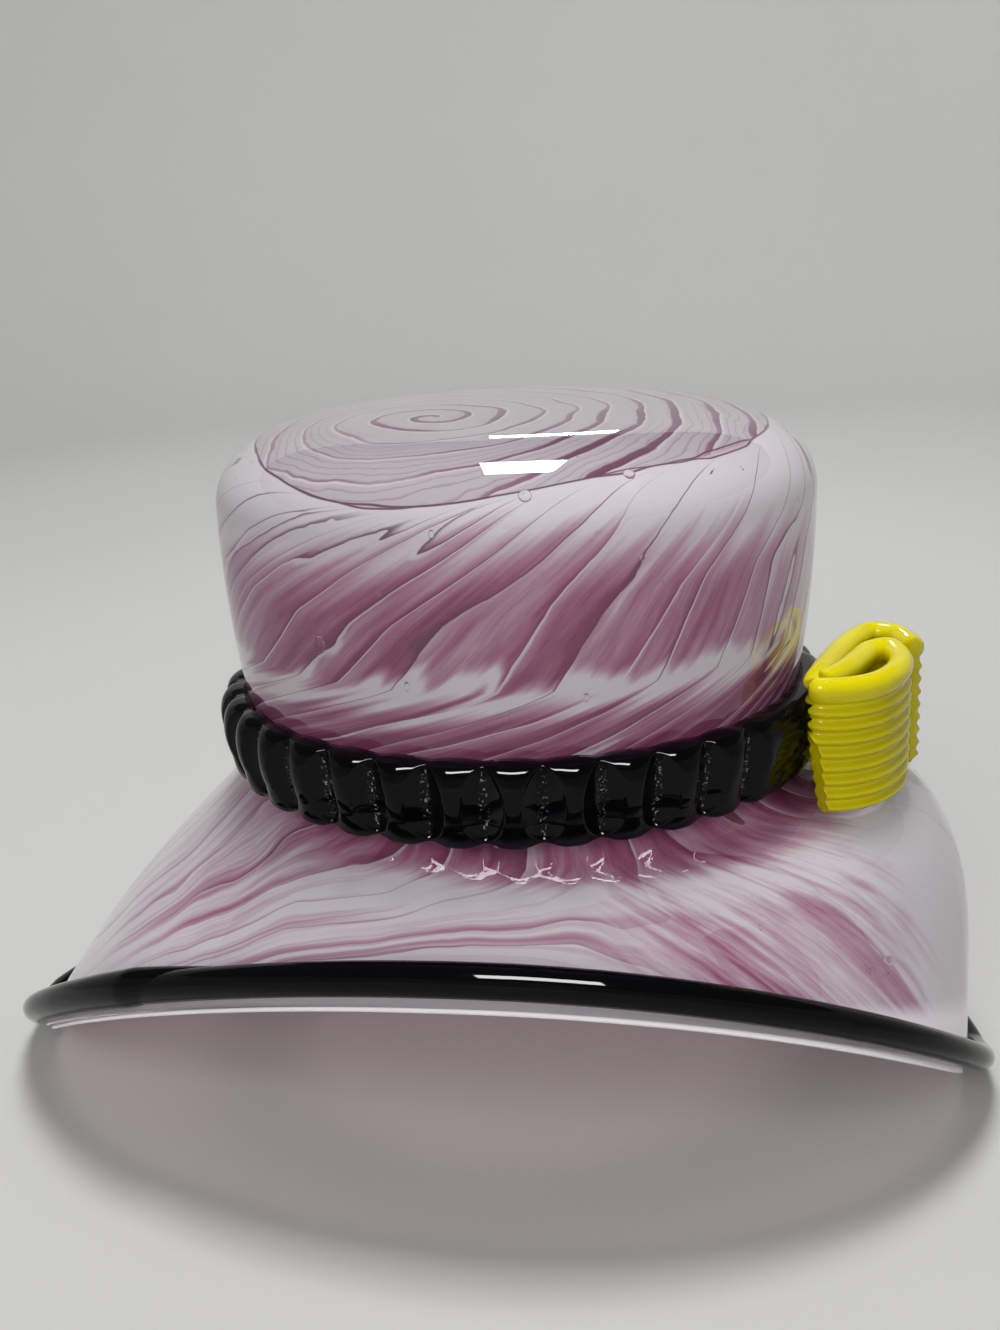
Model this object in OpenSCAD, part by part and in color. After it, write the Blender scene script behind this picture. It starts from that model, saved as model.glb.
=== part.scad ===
// Blown glass hat, standing brim down on its own edge.
// X runs to the wearer's bow side, Y to the back, Z up from the table.
// The origin is on the table, under the middle of the hat's outline.

/* [Crown] */
// Greatest radius of the crown, under its rounded top
crown_r = 60; // [54:0.5:66]
// Height of the rounded top
top_drop = 17; // [13:0.5:22]
// Squareness of the top across its width
top_round = 4.4; // [3:0.1:6]
// Squareness of the top in its height
top_flat = 2.2; // [2:0.1:2.8]
// Height of the crown's wall
wall_h = 48.5; // [42:0.5:60]
// How far the wall draws in towards the band
wall_taper = 5; // [0:0.5:8]

/* [Brim] */
// Height of the brim's root above the table
root_h = 72; // [66:0.5:82]
// Radius of the hollow where the crown turns into the brim
root_r = 10.5; // [9:0.25:12]
// Reach of the brim on the bow side, from the crown's axis
reach_right = 93; // [88:0.5:105]
// Reach of the brim on the far side from the bow
reach_left = 107; // [96:0.5:120]
// Reach of the brim at the front
reach_front = 81; // [76:0.5:95]
// Reach of the brim at the back
reach_back = 80; // [78:0.5:100]
// How far in front of the crown's axis the brim is widest
tip_forward = 12; // [8:0.5:16]
// How far the edge is turned up at the front
front_lift = 48; // [30:0.5:50]
// Sharpness of the turned-up front
lift_power = 1.23; // [1.05:0.01:1.6]
// Turn of the highest point of the edge towards the bow
lift_turn = 6; // [0:0.5:8]
// Slope of the edge at the front
edge_slope = 22; // [10:1:40]

/* [Glass] */
// Thickness of the clear outer glass
clear_t = 2.6; // [1.6:0.1:3.4]
// Thickness of the swirled inner glass
swirl_t = 2.4; // [1.6:0.1:3.4]
// How far the clear glass stops short of the edge
clear_stop = 1; // [0.6:0.1:1.6]

/* [Trails] */
// Height of the hat band
band_h = 16.6; // [13:0.2:18]
// Height of the band's middle above the brim's root
band_rise = 3; // [2:0.25:5]
// Thickness of the band between its pinches
band_t = 6.9; // [5:0.1:8]
// Number of pinches round the band
band_pinches = 36; // [24:1:40]
// Depth of one pinch
pinch_depth = 2.4; // [1:0.1:3]
// Thickness of the edge trail, in radius, where it was laid down last
trail_r = 3.2; // [2.6:0.1:3.6]
// Extra radius of the edge trail where it starts
trail_start = 1.1; // [0.4:0.1:1.3]
// Depth to which the edge trail sank into its seat
trail_sink = 1.4; // [0.8:0.1:2]
// Distance of the edge trail from the end of the clear glass
trail_set = 3.8; // [3.6:0.1:5]

/* [Bow] */
// Height of the ribbon
ribbon_h = 27; // [22:0.5:31]
// Thickness of the ribbon over its ribs
ribbon_t = 4.5; // [3.6:0.1:4.9]
// Number of ribs up the ribbon
ribs = 9; // [8:1:13]
// Depth of the grooves between the ribs
rib_depth = 0.7; // [0.3:0.05:0.9]
// Length of the front loop
front_loop_l = 25; // [23:0.5:26]
// Fullness of the front loop
front_loop_w = 7; // [6.6:0.1:7.6]
// Length of the back loop
back_loop_l = 18.5; // [17.5:0.5:22]
// Fullness of the back loop
back_loop_w = 7.2; // [6.8:0.1:7.6]

/* [Hidden] */

// Space left between a trail or a loop and the glass that it was laid on
seat = 0.25;

// Directions of the brim, in the order right, back, left, front:
// slope at which it leaves the hollow, and pull of its curve at the root and at the edge
leave_slope = [0, 16, 43, 34];
root_pull = [0.42, 0.42, 0.62, 0.35];
edge_pull = [0.6, 0.5, 0.14, 0.3];

// Places of the loops on the band, and their lean from straight outwards
front_loop_at = -22;
front_loop_lean = 80;
back_loop_at = 2;
back_loop_lean = 48;
// Turn at which a loop's ribbon starts, and the space where it comes back beside itself
loop_from = 8;
loop_gap = 0.4;
// Space between the ribbon's lower edge and the brim
bow_clear = 0.45;
// Turn of one pinch, from which the others are counted
pinch_at = -4.1;
// The band is left smooth from just before the front loop to just behind the back loop
plain_from = front_loop_at - 6;
plain_to = back_loop_at + 10;

// Facets round the hat, and along the top, wall, hollow and brim
round_n = 64;
top_n = 7;
wall_n = 3;
hollow_n = 5;
brim_n = 6;
// Facets of one pinch, of the band's section, the edge trail's section and a loop
pinch_n = 6;
band_n = 8;
trail_n = 8;
loop_n = 24;

// Derived sizes
root_at = crown_r - wall_taper;
shoulder_z = root_h + wall_h;
hat_h = shoulder_z + top_drop;
band_z = root_h + band_rise;
glass_t = clear_t + swirl_t;
step = 360 / round_n;

// Smooth value round the brim that takes four given values at its right, back, left and front
function round_four(t, v) =
    (v[0] + v[1] + v[2] + v[3]) / 4
    + (v[0] - v[2]) / 2 * cos(t)
    + (v[1] - v[3]) / 2 * sin(t)
    + (v[0] + v[2] - v[1] - v[3]) / 4 * cos(2 * t);

// Share of the front lift: none where the edge rests on the table
function lift_share(t) = pow(max(0, -sin(t - lift_turn)), lift_power);

// Plan of the edge: four quarter ellipses about a point in front of the crown's axis
function edge_plan(t) = [
    (cos(t) > 0 ? reach_right : reach_left) * cos(t),
    (sin(t) > 0 ? reach_back + tip_forward : reach_front - tip_forward) * sin(t) - tip_forward
];
function edge_turn(t) = atan2(edge_plan(t).y, edge_plan(t).x);

function along(slope) = [cos(slope), -sin(slope)];
function unit(v) = v / norm(v);

// Outer radius of the wall and of the hollow below it, at a height near the band
function wall_r(z) =
    z > root_h
        ? crown_r - wall_taper * pow((shoulder_z - z) / wall_h, 2)
        : root_at + root_r - sqrt(max(0, root_r * root_r - (root_h - z) * (root_h - z)));

// Point of a cubic curve with its two ends and two handles
function cubic(a, b, c, d, v) =
    pow(1 - v, 3) * a + 3 * v * pow(1 - v, 2) * b + 3 * v * v * (1 - v) * c + pow(v, 3) * d;

// Outer profile of the glass at one place round the brim, as [radius, height], from the top's
// middle: a superellipse, a wall that draws in, a hollow and a cubic curve down to the edge
function profile(t) =
    let (
        slope = round_four(t, leave_slope),
        edge_dir = along(edge_slope_at(t)),
        hollow_end = [
            root_at + root_r - root_r * sin(slope),
            root_h - root_r * cos(slope)
        ],
        edge_end = [norm(edge_plan(t)), front_lift * lift_share(t)],
        span = norm(edge_end - hollow_end),
        root_handle = hollow_end + root_pull_at(t) * span * along(slope),
        edge_handle = edge_end - edge_pull_at(t) * span * edge_dir,
        stop = 1 - clear_stop / (3 * edge_pull_at(t) * span)
    )
    concat(
        [for (k = [0:top_n])
            let (u = 90 * k / top_n)
            [crown_r * pow(sin(u), 2 / top_round), hat_h - top_drop * (1 - pow(cos(u), 2 / top_flat))]],
        [for (k = [1:wall_n])
            let (z = shoulder_z - wall_h * k / wall_n)
            [crown_r - wall_taper * pow(k / wall_n, 2), z]],
        [for (k = [1:hollow_n])
            let (turn = (90 - slope) * k / hollow_n)
            [root_at + root_r - root_r * cos(turn), root_h - root_r * sin(turn)]],
        [for (k = [1:brim_n - 1])
            cubic(hollow_end, root_handle, edge_handle, edge_end, k / brim_n)],
        [cubic(hollow_end, root_handle, edge_handle, edge_end, stop), edge_end]
    );
function edge_slope_at(t) = 90 - (90 - edge_slope) * lift_share(t);
function root_pull_at(t) = round_four(t, root_pull);
function edge_pull_at(t) = round_four(t, edge_pull);

// The profile moved into the glass by a depth, square to itself
function inset(p, depth, last_dir) =
    [for (k = [0:len(p) - 1])
        let (
            ahead = p[min(k + 1, len(p) - 1)],
            behind = p[max(k - 1, 0)],
            dir = k == 0 ? [1, 0] : k == len(p) - 1 ? last_dir : unit(ahead - behind)
        )
        p[k] + depth * [dir[1], -dir[0]]];

places = [for (i = [0:round_n - 1]) i * step];
turns = [for (t = places) edge_turn(t)];
outer = [for (t = places) profile(t)];
middle = [for (i = [0:round_n - 1]) inset(outer[i], clear_t, along(edge_slope_at(places[i])))];
inner = [for (i = [0:round_n - 1]) inset(outer[i], glass_t, along(edge_slope_at(places[i])))];

function spin(turn, p) = [p[0] * cos(turn), p[0] * sin(turn), p[1]];

// Points and faces of one layer of glass between two lists of profiles, drop fewer rings at the edge
function layer_points(a, drop) = concat(
    [[0, 0, a[0][0][1]]],
    [for (i = [0:round_n - 1], k = [1:len(a[0]) - 1 - drop]) spin(turns[i], a[i][k])]
);
function layer_id(i, k, rings) = 1 + (i % round_n) * rings + k;

module layer(a, b, drop) {
    rings = len(a[0]) - 1 - drop;
    under = 1 + round_n * rings;
    polyhedron(
        points = concat(layer_points(a, drop), layer_points(b, drop)),
        faces = [
            for (i = [0:round_n - 1])
                let (p = layer_id(i, 0, rings), q = layer_id(i + 1, 0, rings))
                each [[0, q, p], [under, under + p, under + q]],
            for (i = [0:round_n - 1], k = [0:rings - 2])
                let (
                    p = layer_id(i, k, rings),
                    q = layer_id(i + 1, k, rings)
                )
                each [
                    [p, q, q + 1],
                    [p, q + 1, p + 1],
                    [under + p, under + q + 1, under + q],
                    [under + p, under + p + 1, under + q + 1]
                ],
            for (i = [0:round_n - 1])
                let (
                    p = layer_id(i, rings - 1, rings),
                    q = layer_id(i + 1, rings - 1, rings)
                )
                each [[p, q, under + q], [p, under + q, under + p]]
        ],
        convexity = 8
    );
}

// Skin over rows of points, each row a closed section that starts at its top and runs down outside
module skin(rows, ring) {
    n = len(rows);
    m = len(rows[0]);
    polyhedron(
        points = [for (row = rows) each row],
        faces = [
            for (i = [0:n - (ring ? 1 : 2)], j = [0:m - 1])
                let (
                    a = i * m + j,
                    b = i * m + (j + 1) % m,
                    c = ((i + 1) % n) * m + (j + 1) % m,
                    d = ((i + 1) % n) * m + j
                )
                each [[a, d, c], [a, c, b]],
            if (!ring) each [for (j = [0:floor(m / 2) - 1])
                let (a = j, b = j + 1, c = m - 2 - j, d = m - 1 - j)
                c > b ? [a, b, c, d] : [a, b, d]],
            if (!ring) each [for (j = [0:floor(m / 2) - 1])
                let (z = (n - 1) * m, a = z + j, b = z + j + 1, c = z + m - 2 - j, d = z + m - 1 - j)
                c > b ? [d, c, b, a] : [d, b, a]]
        ],
        convexity = 8
    );
}

// Section of the band at one turn: a flattened half round, pinched in at even steps
function pinch_share(turn) =
    let (
        phase = (turn - pinch_at) / 360 * band_pinches,
        off = abs(phase - round(phase)),
        ease = min(1, max(0, max(plain_from - turn, turn - plain_to) / 6))
    )
    ease * exp(-pow(off / 0.22, 2));
function band_row(turn) =
    let (share = pinch_share(turn))
    concat(
        [for (j = [0:band_n])
            let (
                lean = 90 - 180 * j / band_n,
                rise = band_h / 2 * sin(lean) * (lean < 0 ? 1 - 0.08 * share : 1),
                thick = band_t * pow(max(0, cos(lean)), 0.6) - pinch_depth * share * max(0, cos(lean))
            )
            spin(turn, [wall_r(band_z + rise) + seat + thick, band_z + rise])],
        [for (share_up = [-1, 1])
            let (z = band_z + share_up * band_h / 6)
            spin(turn, [wall_r(z) + seat, z])]
    );
band_turns = let (n = band_pinches * pinch_n) [for (i = [0:n - 1]) pinch_at + (i - n / 2) * 360 / n];

// Section of the edge trail on the outer side of the brim: a round with its seat cut flat.
// Its last stretch lies beside its start, a little further up the brim, and tapers away.
trail_first = 39;
trail_rows_n = round_n + 3;
function trail_thick(s) =
    s < 3 ? trail_r * [0.4, 0.75, 0.95][s]
    : s > trail_rows_n - 2 ? (trail_r + trail_start) * 0.5
    : trail_r + trail_start * exp((s - trail_rows_n + 2) / 7);
function trail_aside(s) = s < 4 ? (2.1 * trail_r + trail_start) * [1.2, 1.12, 0.95, 0.4][s] : 0;
// Point of the brim at a distance up from the end of the clear glass, and its way down the brim
function on_brim(i, up) =
    let (
        last = len(outer[i]) - 2,
        a = outer[i][last],
        b = outer[i][last - 1],
        c = outer[i][last - 2],
        first_l = norm(a - b)
    )
    up < first_l ? [a + (b - a) * up / first_l, unit(a - b)]
    : [b + unit(c - b) * (up - first_l), unit(b - c)];
function trail_row(s) =
    let (
        i = (trail_first + s) % round_n,
        aside = trail_aside(s),
        foot = on_brim(i, trail_set + aside),
        dir = foot[1],
        out = [-dir[1], dir[0]],
        thick = trail_thick(s),
        rest = seat + (aside > 0 ? 0.4 : 0.2),
        raise = max(0.1, thick - trail_sink),
        middle_at = foot[0] + (raise + rest) * out,
        tuck = asin(raise / thick)
    )
    [for (j = [0:trail_n])
        let (lean = 180 + tuck - (180 + 2 * tuck) * j / trail_n)
        spin(turns[i], middle_at + thick * (cos(lean) * dir + sin(lean) * out))];
trail_rows = [for (s = [0:trail_rows_n - 1]) trail_row(s)];

// Middle of the hat's outline, which the origin lies under
rim_points = concat(
    [for (row = trail_rows) each row],
    [for (i = [0:round_n - 1], p = outer[i]) spin(turns[i], p)]
);
middle_x = (min([for (p = rim_points) p.x]) + max([for (p = rim_points) p.x])) / 2;
middle_y = (min([for (p = rim_points) p.y]) + max([for (p = rim_points) p.y])) / 2;

module place() {
    translate([-middle_x, -middle_y, 0]) children();
}

// Plan of a loop: a teardrop that starts on the band, folds over and comes back beside itself
function loop_at(a, length, full) = [
    length * (1 - cos(a)) / 2,
    -full * sin(a) * (1 - cos(a)) / 2
];
// Section of the ribbon: a rib for each rod of glass in it, down one face and up the other
function ribbon_half(k) = ribbon_t / 2 - (k % 2 == 0 ? rib_depth : 0);
function ribbon_section() = concat(
    [for (k = [0:2 * ribs]) [ribbon_half(k), ribbon_h * (1 - k / (2 * ribs))]],
    [for (k = [2 * ribs:-1:0]) [-ribbon_half(k), ribbon_h * (1 - k / (2 * ribs))]]
);
// Turn at which a loop's ribbon has come back beside its own start
function loop_to(full) =
    let (need = 1.15 * ribbon_t + loop_gap)
    360 - [for (a = [60:1:110]) if (full * sin(a) * (1 - cos(a)) > need) a][0];
function loop_rows(length, full) =
    let (section = ribbon_section())
    [for (k = [0:loop_n])
        let (
            a = loop_from + (loop_to(full) - loop_from) * k / loop_n,
            dir = unit(loop_at(a + 0.5, length, full) - loop_at(a - 0.5, length, full)),
            side = [dir[1], -dir[0]]
        )
        [for (p = section) [each (loop_at(a, length, full) + p[0] * side), p[1]]]];

// A loop stands over the brim against the smooth stretch of the band and leans towards the back
module loop(at, lean, length, full) {
    band_out = max([for (p = band_row(front_loop_at)) norm([p.x, p.y])]);
    place()
        rotate([0, 0, at])
            translate([band_out + seat + ribbon_t / 2 * sin(lean), 0, root_h - root_r + bow_clear])
                rotate([0, 0, lean])
                    skin(loop_rows(length, full), false);
}

// White and pink swirled glass, crown and brim in one bubble
module swirl_body() {
    color("plum") place() layer(middle, inner, 0);
}

// Clear glass over the whole outside of the bubble
module clear_casing() {
    color("lavender", 0.5) place() layer(outer, middle, 1);
}

// Black trail round the foot of the crown, pinched into lobes
module hat_band() {
    color("black") place() skin([for (turn = band_turns) band_row(turn)], true);
}

// Black trail along the edge of the brim
module lip_wrap() {
    color("black") place() skin(trail_rows, false);
}

// Near loop of the yellow ribbed bow
module bow_front_loop() {
    color("gold") loop(front_loop_at, front_loop_lean, front_loop_l, front_loop_w);
}

// Far loop of the bow
module bow_back_loop() {
    color("gold") loop(back_loop_at, back_loop_lean, back_loop_l, back_loop_w);
}

swirl_body();
clear_casing();
hat_band();
lip_wrap();
bow_front_loop();
bow_back_loop();
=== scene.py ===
"""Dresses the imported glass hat: swirled glass under clear glass, black trails and a ribbed bow."""
from functools import partialmethod
from math import pi, radians
from types import SimpleNamespace

import bpy
import numpy as np
from bpy.props import FloatProperty, FloatVectorProperty, IntProperty, PointerProperty
from mathutils import Matrix, Vector


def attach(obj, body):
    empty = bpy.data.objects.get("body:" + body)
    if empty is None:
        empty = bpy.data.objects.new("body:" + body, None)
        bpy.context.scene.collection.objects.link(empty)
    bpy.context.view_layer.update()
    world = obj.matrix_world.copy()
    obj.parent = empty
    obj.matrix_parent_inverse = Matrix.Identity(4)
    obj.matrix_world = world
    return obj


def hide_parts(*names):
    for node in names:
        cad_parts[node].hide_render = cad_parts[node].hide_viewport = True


bl_info = {
    "name": "Glass Hat",
    "version": (1, 0, 0),
    "blender": (4, 5, 0),
    "location": "3D View > Sidebar > Glass Hat",
    "description": "Builds a blown glass hat around its frame, with its glasses, trails and bow",
    "category": "Object",
}

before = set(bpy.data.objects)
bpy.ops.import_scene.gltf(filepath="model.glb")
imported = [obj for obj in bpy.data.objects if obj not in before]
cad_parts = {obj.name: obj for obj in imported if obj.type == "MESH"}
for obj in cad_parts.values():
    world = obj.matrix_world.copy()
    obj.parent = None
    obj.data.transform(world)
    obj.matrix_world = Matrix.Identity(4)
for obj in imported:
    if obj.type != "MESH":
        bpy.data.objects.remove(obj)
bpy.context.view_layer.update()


def crown_axis():
    """Foot of the crown's axis, under the highest point of the clear glass in the frame."""
    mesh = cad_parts["clear_casing"].data
    points = np.empty(len(mesh.vertices) * 3)
    mesh.vertices.foreach_get("co", points)
    points = points.reshape(-1, 3)
    return points[np.argmax(points[:, 2])] * (1, 1, 0)


AXIS = crown_axis()


def length(name, default, words):
    """A size in metres."""
    return FloatProperty(name=name, description=words, default=default, unit="LENGTH", precision=5)


def angle(name, default, words):
    """An angle, given here in degrees."""
    return FloatProperty(name=name, description=words, default=radians(default), unit="ROTATION")


def amount(name, default, words):
    """A plain number."""
    return FloatProperty(name=name, description=words, default=default)


def colour(name, default, words):
    """A linear colour."""
    return FloatVectorProperty(name=name, description=words, default=default, subtype="COLOR", min=0, max=1)


class HatSizes(bpy.types.PropertyGroup):
    """Sizes of the bubble: crown, hollow and brim."""

    crown_r: length("Crown radius", 0.060, "Greatest radius of the crown")
    top_drop: length("Top height", 0.017, "Height of the rounded top")
    top_round: amount("Top roundness", 4.4, "Squareness of the top across its width")
    top_flat: amount("Top flatness", 2.2, "Squareness of the top in its height")
    wall_h: length("Wall height", 0.0485, "Height of the crown's wall")
    wall_taper: length("Wall taper", 0.005, "How far the wall draws in towards the band")
    root_h: length("Root height", 0.072, "Height of the brim's root")
    root_r: length("Hollow radius", 0.0105, "Radius of the hollow between crown and brim")
    reach_right: length("Reach right", 0.093, "Reach of the brim on the bow side")
    reach_left: length("Reach left", 0.107, "Reach of the brim away from the bow")
    reach_front: length("Reach front", 0.081, "Reach of the brim at the front")
    reach_back: length("Reach back", 0.080, "Reach of the brim at the back")
    tip_forward: length("Tips forward", 0.012, "How far in front of the axis the brim is widest")
    front_lift: length("Front lift", 0.048, "How far the edge is turned up at the front")
    lift_power: amount("Lift power", 1.23, "Sharpness of the turned-up front")
    lift_turn: angle("Lift turn", 6, "Turn of the edge's highest point towards the bow")
    edge_slope: angle("Edge slope", 22, "Slope of the edge at the front")
    clear_t: length("Clear depth", 0.0026, "Thickness of the clear glass")
    swirl_t: length("Swirl depth", 0.0024, "Thickness of the swirled glass")
    clear_stop: length("Clear stop", 0.001, "How far the clear glass stops short of the edge")


class TrailSizes(bpy.types.PropertyGroup):
    """Sizes of the black band and of the trail along the edge."""

    band_h: length("Band height", 0.0166, "Height of the hat band")
    band_rise: length("Band rise", 0.003, "Height of the band above the brim's root")
    band_t: length("Band depth", 0.0069, "Thickness of the band between its pinches")
    pinches: IntProperty(name="Pinches", description="Pinches round the band", default=36)
    pinch_at: angle("Pinch place", -4.1, "Turn of the first pinch")
    pinch_depth: length("Pinch depth", 0.0024, "Depth of one pinch")
    plain_from: angle("Smooth from", -28, "Turn where the smooth stretch starts")
    plain_to: angle("Smooth to", 12, "Turn where the smooth stretch ends")
    trail_at: angle("Trail place", 231.5, "Turn at which the edge trail starts")
    trail_r: length("Trail radius", 0.0032, "Radius of the edge trail")
    trail_slim: amount("Trail slimming", 0.36, "Share of its radius lost at the back")
    trail_start: length("Start radius", 0.0011, "Extra radius of the edge trail at its joint")
    trail_sink: length("Trail sink", 0.0012, "Depth of the edge trail in the clear glass")
    trail_set: length("Trail set", 0.0029, "Distance from the end of the clear glass")


class BowSizes(bpy.types.PropertyGroup):
    """Sizes of the bow's ribbon."""

    ribbon_h: length("Ribbon height", 0.027, "Height of the ribbon")
    ribbon_t: length("Ribbon depth", 0.0045, "Thickness of the ribbon over its ribs")
    ribs: IntProperty(name="Ribs", description="Rods of glass up the ribbon", default=9)
    rib_depth: length("Rib depth", 0.0007, "Depth of the grooves between the ribs in the solids")
    rib_share: amount("Rib share", 1.35, "Depth of the grooves over that in the solids")
    rim_h: length("Rim height", 0.0052, "Height of the rod along the upper edge")
    clear: length("Bow clearance", 0.00045, "Space between the ribbon and the brim")


class GlassColours(bpy.types.PropertyGroup):
    """Colours of the glasses and of the stage."""

    white: colour("White", (0.64, 0.615, 0.635), "White glass of the swirl")
    milk: colour("Milk", (0.465, 0.445, 0.46), "Greyer white glass of the top")
    lilac: colour("Lilac", (0.47, 0.315, 0.395), "Thin white over pink in the swirl")
    mauve: colour("Mauve", (0.335, 0.125, 0.215), "Pink glass of the swirl")
    plum: colour("Plum", (0.21, 0.050, 0.110), "Pink glass where it lies thickest")
    crease: colour("Crease", (0.12, 0.045, 0.080), "Thin lines where the swirl folds over itself")
    # Pale thin glass of the brim's edge, set brighter than the swirl's white: painted glow for light that
    # comes through the glass into the trail's shade
    pale_edge_glow: colour("Pale edge and painted glow", (0.95, 0.91, 0.935), "Thin pale glass along the edge of the brim")
    passed: colour("Passed light", (0.44, 0.365, 0.385), "Light that the swirled glass lets through")
    black: colour("Black", (0.002, 0.002, 0.0025), "Glass of the trails")
    seed: colour("Seed", (0.22, 0.22, 0.225), "Rows of seeds in the band's nips")
    yellow: colour("Yellow", (0.64, 0.555, 0.002), "Glass of the bow")
    clear: colour("Clear", (0.985, 0.98, 0.985), "Tint of the clear glass")
    floor: colour("Floor", (0.66, 0.66, 0.645), "Floor and backdrop")


# Directions round the brim, in the order right, back, left, front
LEAVE_SLOPE = [radians(d) for d in (0, 16, 43, 34)]
ROOT_PULL = (0.42, 0.42, 0.62, 0.35)
EDGE_PULL = (0.6, 0.5, 0.14, 0.3)

# Plan of the two loops of the bow from the crown's axis
FRONT_LOOP = [(0.0600, -0.0216), (0.0667, -0.0206), (0.0716, -0.0172), (0.0748, -0.0118), (0.0766, -0.0050),
              (0.0764, 0.0025), (0.0742, 0.0072), (0.0712, 0.0050), (0.0688, -0.0015), (0.0666, -0.0085),
              (0.0640, -0.0140), (0.0622, -0.0172)]
BACK_LOOP = [(0.0610, -0.0172), (0.0618, -0.0120), (0.0630, -0.0045), (0.0647, 0.0035), (0.0673, 0.0122),
             (0.0711, 0.0186), (0.0753, 0.0176), (0.0782, 0.0122), (0.0795, 0.0078)]

# Larger bubbles: place round the brim in degrees, stretch down the skin, radius, length over width,
# and twist in degrees
BUBBLES = [(283.0, 0.818, 0.0012, 1.0, 0), (302.0, 0.764, 0.0011, 1.0, 0), (269.2, 0.945, 0.0005, 1.6, 0),
           (261.5, 1.150, 0.0008, 1.0, 0), (250.7, 1.375, 0.0011, 1.7, 0), (293.7, 0.964, 0.0006, 1.0, 0),
           (301.2, 1.050, 0.0005, 1.0, 0), (291.5, 1.550, 0.0006, 1.4, 0), (332.0, 2.800, 0.0009, 3.6, 64),
           (335.5, 2.775, 0.0009, 2.4, 66), (264.5, 1.500, 0.0005, 2.0, 0), (310.2, 1.375, 0.0005, 1.0, 0)]

# Lines of the swirl: folds round the hat, lean in radians for each metre up the wall, how it changes to the
# sides, the height it counts from, and the added lean of the wall's foot below a height
FOLDS = 34
LEAN, LEAN_SIDE, LEAN_Z = radians(840), radians(420), 0.110
FOOT_LEAN, FOOT_Z = radians(1600), 0.095

# Crease round the top: plan radius, swell, place and spread of the swell; then the spiral's start left of the
# axis and in front of it, and its rings for each metre
CREASE_R, CREASE_SWELL, CREASE_AT, CREASE_SPREAD = 0.050, 0.005, -1.83, 0.61
SPIRAL_LEFT, SPIRAL_FRONT, SPIRAL_RINGS = 0.0123, 0.0150, 142.0

# How far the clear glass reaches into the swirled glass, and the band into the clear glass
FUSED, BAND_SINK = 0.0005, 0.0004

ROUND_N = 384
GLASS_IOR = 1.5


def round_four(t, values):
    """Smooth value round the brim through four given ones: a mean and two harmonics."""
    right, back, left, front = values
    mean = (right + back + left + front) / 4
    first = (right - left) / 2 * np.cos(t) + (back - front) / 2 * np.sin(t)
    return mean + first + (right + left - back - front) / 4 * np.cos(2 * t)


def lift_share(hat, t):
    """Share of the front lift: a power of the sine, none where the edge rests."""
    return np.maximum(0, -np.sin(t - hat.lift_turn)) ** hat.lift_power


def edge_plan(hat, t):
    """Plan of the edge: four quarter ellipses about a point in front of the axis."""
    wide = np.where(np.cos(t) > 0, hat.reach_right, hat.reach_left)
    deep = np.where(np.sin(t) > 0, hat.reach_back + hat.tip_forward, hat.reach_front - hat.tip_forward)
    return wide * np.cos(t), deep * np.sin(t) - hat.tip_forward


def edge_turn(hat, t):
    """Direction, seen from the crown's axis, of a place round the brim."""
    plan_x, plan_y = edge_plan(hat, t)
    return np.arctan2(plan_y, plan_x)


def edge_slope(hat, t):
    """Slope of the brim at its edge: upright where it rests, flatter where it is turned up."""
    return pi / 2 - (pi / 2 - hat.edge_slope) * lift_share(hat, t)


def wall_radius(hat, z):
    """Outer radius of the crown's wall, a parabola, and of the hollow below it, a quarter round."""
    root_at = hat.crown_r - hat.wall_taper
    above = hat.crown_r - hat.wall_taper * ((hat.root_h + hat.wall_h - z) / hat.wall_h) ** 2
    below = root_at + hat.root_r - np.sqrt(np.maximum(0, hat.root_r**2 - (hat.root_h - z) ** 2))
    return np.where(z > hat.root_h, above, below)


def brim_curve(hat, t, start, slope, v):
    """Cubic curve from the hollow to the edge, with slopes and pulls that change round the brim."""
    plan_x, plan_y = edge_plan(hat, t)
    end = np.stack([np.hypot(plan_x, plan_y), hat.front_lift * lift_share(hat, t)], -1)
    span = np.linalg.norm(end - start, axis=-1, keepdims=True)
    last = edge_slope(hat, t)
    leave_way = np.stack([np.cos(slope), -np.sin(slope)], -1)
    last_way = np.stack([np.cos(last), -np.sin(last)], -1)
    first_handle = start + round_four(t, ROOT_PULL)[..., None] * span * leave_way
    last_handle = end - round_four(t, EDGE_PULL)[..., None] * span * last_way
    return ((1 - v) ** 3 * start + 3 * v * (1 - v) ** 2 * first_handle
            + 3 * v**2 * (1 - v) * last_handle + v**3 * end)


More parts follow.
